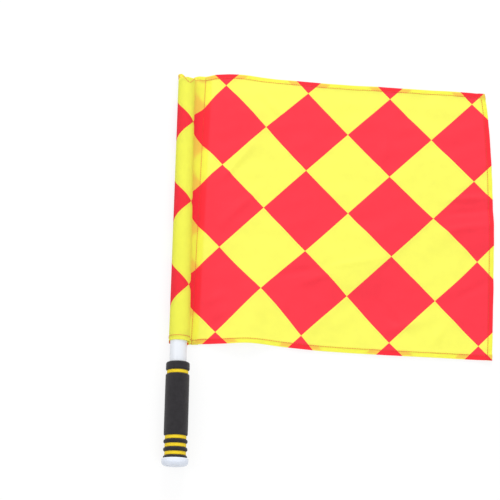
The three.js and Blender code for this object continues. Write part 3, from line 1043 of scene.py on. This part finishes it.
def printed_polyester():
    """Thin plain-weave polyester with a dyed print. It lets light through, so a layer below shows."""
    material, tree, add, face = shader("cloth_print")
    flat_place = add("ShaderNodeUVMap", {"uv_map": "cut"}).outputs[0]
    bleed = add("ShaderNodeTexNoise", _0=flat_place, Scale=3200.0, Detail=1.0)
    wicked = add("ShaderNodeVectorMath", {"operation": "MULTIPLY_ADD"},
                 _0=bleed.outputs["Color"], _1=(2 * half_wick, 2 * half_wick, 0.0), _2=flat_place)
    on_corner = math.radians(45)
    to_squares = Matrix.Rotation(on_corner, 2) * (1 / print_square)
    shift = to_squares @ Vector((print_corner_across + half_wick, print_corner_up + half_wick))
    squares = add("ShaderNodeMapping", _0=wicked.outputs[0], Location=(-shift.x, -shift.y, 0.5),
                  Rotation=(0, 0, on_corner), Scale=(1 / print_square, 1 / print_square, 0))
    diamonds = add("ShaderNodeTexChecker", _0=squares.outputs[0], Scale=1.0,
                   Color1=(*red_print, 1), Color2=(*yellow_print, 1))
    dye = add("ShaderNodeTexNoise", _0=flat_place, Scale=90.0, Detail=5.0)
    dye_depth = spread(add, dye.outputs[0], 0.95, 1.03)
    tone = add("ShaderNodeVectorMath", {"operation": "SCALE"}, _0=diamonds.outputs[0],
               Scale=dye_depth).outputs[0]

    threads = add("ShaderNodeMapping", _0=flat_place, Scale=(1, 1, 0)).outputs[0]
    warp, weft = (
        add("ShaderNodeTexWave", {"bands_direction": way}, _0=threads, Scale=800.0, Distortion=0.4)
        for way in ("X", "Y"))
    weave = add("ShaderNodeMath", {"operation": "MULTIPLY"},
                _0=warp.outputs["Fac"], _1=weft.outputs["Fac"]).outputs[0]
    relief = add("ShaderNodeBump", Strength=0.35, Distance=0.00008, Height=weave).outputs[0]
    slub = add("ShaderNodeTexNoise", _0=flat_place, Scale=420.0, Detail=3.0).outputs[0]
    handled = add("ShaderNodeBump", Strength=0.3, Distance=0.00012, Height=slub, Normal=relief)
    plug_in(tree, face, {
        "Base Color": tone,
        "Normal": handled.outputs[0],
        "Roughness": 0.72,
        "Specular IOR Level": 0.25,
        "Sheen Weight": 0.08,
        "Sheen Roughness": 0.4,
    })
    through = add("ShaderNodeBsdfTranslucent", Color=tone)
    both = add("ShaderNodeMixShader", _0=see_through, _1=face.outputs[0], _2=through.outputs[0])
    plug_in(tree, tree.nodes["Material Output"], {"Surface": both.outputs[0]})
    return material


cloth_mesh = bpy.data.meshes.new("flag_sheet")
cloth.to_mesh(cloth_mesh)
cloth.free()
cloth_mesh.materials.append(printed_polyester())
flag_sheet = bpy.data.objects.new("flag_sheet", cloth_mesh)
scene.collection.objects.link(flag_sheet)
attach(flag_sheet, "flag")
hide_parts("flag_cloth")

# Stitching: red polyester thread in a plain lockstitch, which shows as a row of short bars on
# both faces. It runs round the three hems, and up the hoist seam that shuts the sleeve.
stitch_pitch = 0.0030
stitch_bar = 0.0025
thread_radius = 0.00024
thread_sides = 6
thread_look = 0.0002
# Darker colour painted as shade in the grooves between the thread's plies.
thread_groove_shade = (0.66, 0.025, 0.010)
thread_on_ply = (0.92, 0.060, 0.025)
bar_heights = [(-0.5, -0.5), (-0.38, 0.55), (-0.15, 0.95), (0.15, 0.95), (0.38, 0.55), (0.5, -0.5)]


def on_sheet(column, row):
    """Point and facing of the sheet's top layer at a fractional column and row."""
    c, r = min(int(column), column_count - 2), min(int(row), row_count - 2)
    across, up = column - c, row - r
    point = grid[r][c].lerp(grid[r][c + 1], across).lerp(
        grid[r + 1][c].lerp(grid[r + 1][c + 1], across), up)
    face = facing[r][c].lerp(facing[r][c + 1], across).lerp(
        facing[r + 1][c].lerp(facing[r + 1][c + 1], across), up)
    return point, face.normalized()


def fraction_in(values, wanted):
    """Fractional index of a wanted value in a rising list."""
    for at in range(len(values) - 1):
        if values[at] <= wanted < values[at + 1]:
            return at + (wanted - values[at]) / (values[at + 1] - values[at])
    raise ValueError(f"{wanted} isn't between {values[0]} and {values[-1]}")


def stitched(name, path, faces):
    """A row of stitches along a path of (column, row) on the sheet. A face of the work is the side it
    is on, how deep it is below the sheet's top layer, and how proud of it the thread stands."""
    spots = [on_sheet(column, row) for column, row in path]
    run = lengths_along([point for point, face in spots])
    thread = bmesh.new()

    def spot_at(distance):
        at, share = step_at(run, min(max(distance, 0.0), run[-1]))
        point, face = (one.lerp(other, share) for one, other in zip(spots[at - 1], spots[at]))
        return point, face.normalized()

    for number in range(int(run[-1] / stitch_pitch)):
        middle = (number + 0.5) * stitch_pitch
        for side, depth, proud in faces:
            rings = []
            for reach, high in bar_heights:
                here = middle + reach * stitch_bar
                point, face = spot_at(here)
                along = spot_at(here + thread_look)[0] - spot_at(here - thread_look)[0]
                beside = along.cross(face).normalized()
                centre = point + face * (side * high * proud * thread_radius - depth)
                ring = []
                for step in range(thread_sides):
                    angle = 2 * math.pi * step / thread_sides
                    ring.append(thread.verts.new(
                        centre + (face * math.cos(angle) + beside * math.sin(angle)) * thread_radius))
                rings.append(ring)
            for one, other in zip(rings, rings[1:]):
                for step in range(thread_sides):
                    after = (step + 1) % thread_sides
                    thread.faces.new((one[step], one[after], other[after], other[step]))
            thread.faces.new(reversed(rings[0]))
            thread.faces.new(rings[-1])
    return piece_from(thread, name, thread_red, "flag")


def twisted_thread():
    """Filament thread: two plies, laid round each other, with painted shade in the grooves between them.
    """
    material, tree, add, strand = shader("seam_thread")
    place = add("ShaderNodeTexCoord").outputs["Object"]
    plies = add("ShaderNodeTexWave", {"bands_direction": "DIAGONAL"}, _0=place, Scale=700.0,
                Distortion=0.5).outputs["Fac"]
    twist = add("ShaderNodeBump", Strength=0.5, Distance=0.00005, Height=plies)
    # The grooves get painted shade, and the crowns of the plies the thread's own red.
    plug_in(tree, strand, {
        "Base Color": two_tone(add, plies, thread_groove_shade, thread_on_ply),
        "Normal": twist.outputs[0],
        "Roughness": 0.5,
        "Sheen Weight": 0.2,
    })
    return material


thread_red = twisted_thread()
first_sleeve_column = len(panel_shares) + len(allowance_shares)
last_column = column_count - 1 - allowance_steps
foot_stitch_row = fraction_in(rises, hem_stitch_inset)
top_stitch_row = fraction_in(rises, cloth_height - hem_stitch_inset)
fly_stitch_column = fraction_in([fly_at(0) - flat for flat in flats[0]], hem_stitch_inset)
pressed_flat = 0.3
hem_faces = [(1, 0.0, 1), (-1, 2 * layer_gap, pressed_flat)]
whole_width = [fly_stitch_column] + list(range(int(fly_stitch_column) + 1, last_column + 1))
foot_stitches = stitched(
    "stitches_foot_hem", [(column, foot_stitch_row) for column in whole_width], hem_faces)
top_stitches = stitched(
    "stitches_top_hem", [(column, top_stitch_row) for column in whole_width], hem_faces)
fly_stitches = stitched(
    "stitches_fly_hem",
    [(fly_stitch_column, row) for row in
     [foot_stitch_row, *range(int(foot_stitch_row) + 1, int(top_stitch_row) + 1), top_stitch_row]],
    hem_faces)
seam_stitches = stitched(
    "stitches_hoist_seam", [(first_sleeve_column, row) for row in range(row_count)],
    [(1, 0.0, 1), (-1, upper_layer - lowest_layer - seam_draw, pressed_flat)])

# Table and light: a plain white table top, a large soft box beyond the tip of the staff, which brings
# out the creases, weaker ones over both sides, and even light from all round.
table_reach = 6.0
table_clearance = 0.00002
table_colour = (0.66, 0.66, 0.66)
plain_white = (1.0, 1.0, 1.0)
shaded_white = (0.97, 0.97, 0.97)
shadow_share = 0.2
soft_boxes = [
    ("soft_box_far", (0.2, 2.8, 1.15), 1.3, 46.0),
    ("soft_box_left", (-1.35, 0.55, 1.5), 1.4, 9.0),
    ("soft_box_right", (0.75, -1.0, 1.6), 1.6, 11.0),
]
lit_spot = Vector((0.15, 0.28, 0))
room_light = 0.655

table = bmesh.new()
for x, y in ((-1, -1), (1, -1), (1, 1), (-1, 1)):
    table.verts.new((x * table_reach, y * table_reach, table_height - table_clearance))
table.faces.new(table.verts)
table_mesh = bpy.data.meshes.new("table_top")
table.to_mesh(table_mesh)
table.free()
table_top = bpy.data.objects.new("table_top", table_mesh)
scene.collection.objects.link(table_top)


def seen_directly(add):
    """1 for the rays that show the background: straight, in a reflection or through glass."""
    path = add("ShaderNodeLightPath")
    mirrored = add("ShaderNodeMath", {"operation": "MAXIMUM"},
                   _0=path.outputs["Is Camera Ray"], _1=path.outputs["Is Glossy Ray"])
    clear = add("ShaderNodeMath", {"operation": "MAXIMUM"},
                _0=mirrored.outputs[0], _1=path.outputs["Is Transmission Ray"])
    return clear.outputs[0]


def table_white():
    """White table top. Where it is seen it is a white background that keeps a light shadow."""
    material, tree, add, top = shader("table_white")
    plug_in(tree, top, {
        "Base Color": (*table_colour, 1),
        "Roughness": 0.9,
        "Specular IOR Level": 0.1,
    })
    paper = add("ShaderNodeEmission", Color=(*plain_white, 1), Strength=1.0)
    shaded = add("ShaderNodeBsdfDiffuse", Color=(*shaded_white, 1))
    background = add("ShaderNodeMixShader", _0=shadow_share, _1=paper.outputs[0],
                     _2=shaded.outputs[0])
    shown = add("ShaderNodeMixShader", _0=seen_directly(add), _1=top.outputs[0],
                _2=background.outputs[0])
    plug_in(tree, tree.nodes["Material Output"], {"Surface": shown.outputs[0]})
    return material


table_mesh.materials.append(table_white())

for name, place, width, power in soft_boxes:
    lamp = bpy.data.lights.new(name, "AREA")
    lamp.shape = "SQUARE"
    lamp.size = width
    lamp.energy = power
    soft_box = bpy.data.objects.new(name, lamp)
    soft_box.location = place
    soft_box.rotation_euler = (lit_spot - soft_box.location).to_track_quat("-Z", "Y").to_euler()
    scene.collection.objects.link(soft_box)

room = bpy.data.worlds.new("room")
room.use_nodes = True
scene.world = room
room_tree = room.node_tree
add_to_room = node_maker(room_tree)
even_light = room_tree.nodes["Background"]
plug_in(room_tree, even_light, {"Color": (*plain_white, 1), "Strength": room_light})
backdrop = add_to_room("ShaderNodeBackground", Color=(*plain_white, 1), Strength=1.0)
whole_room = add_to_room("ShaderNodeMixShader", _0=seen_directly(add_to_room),
                         _1=even_light.outputs[0], _2=backdrop.outputs[0])
plug_in(room_tree, room_tree.nodes["World Output"], {"Surface": whole_room.outputs[0]})
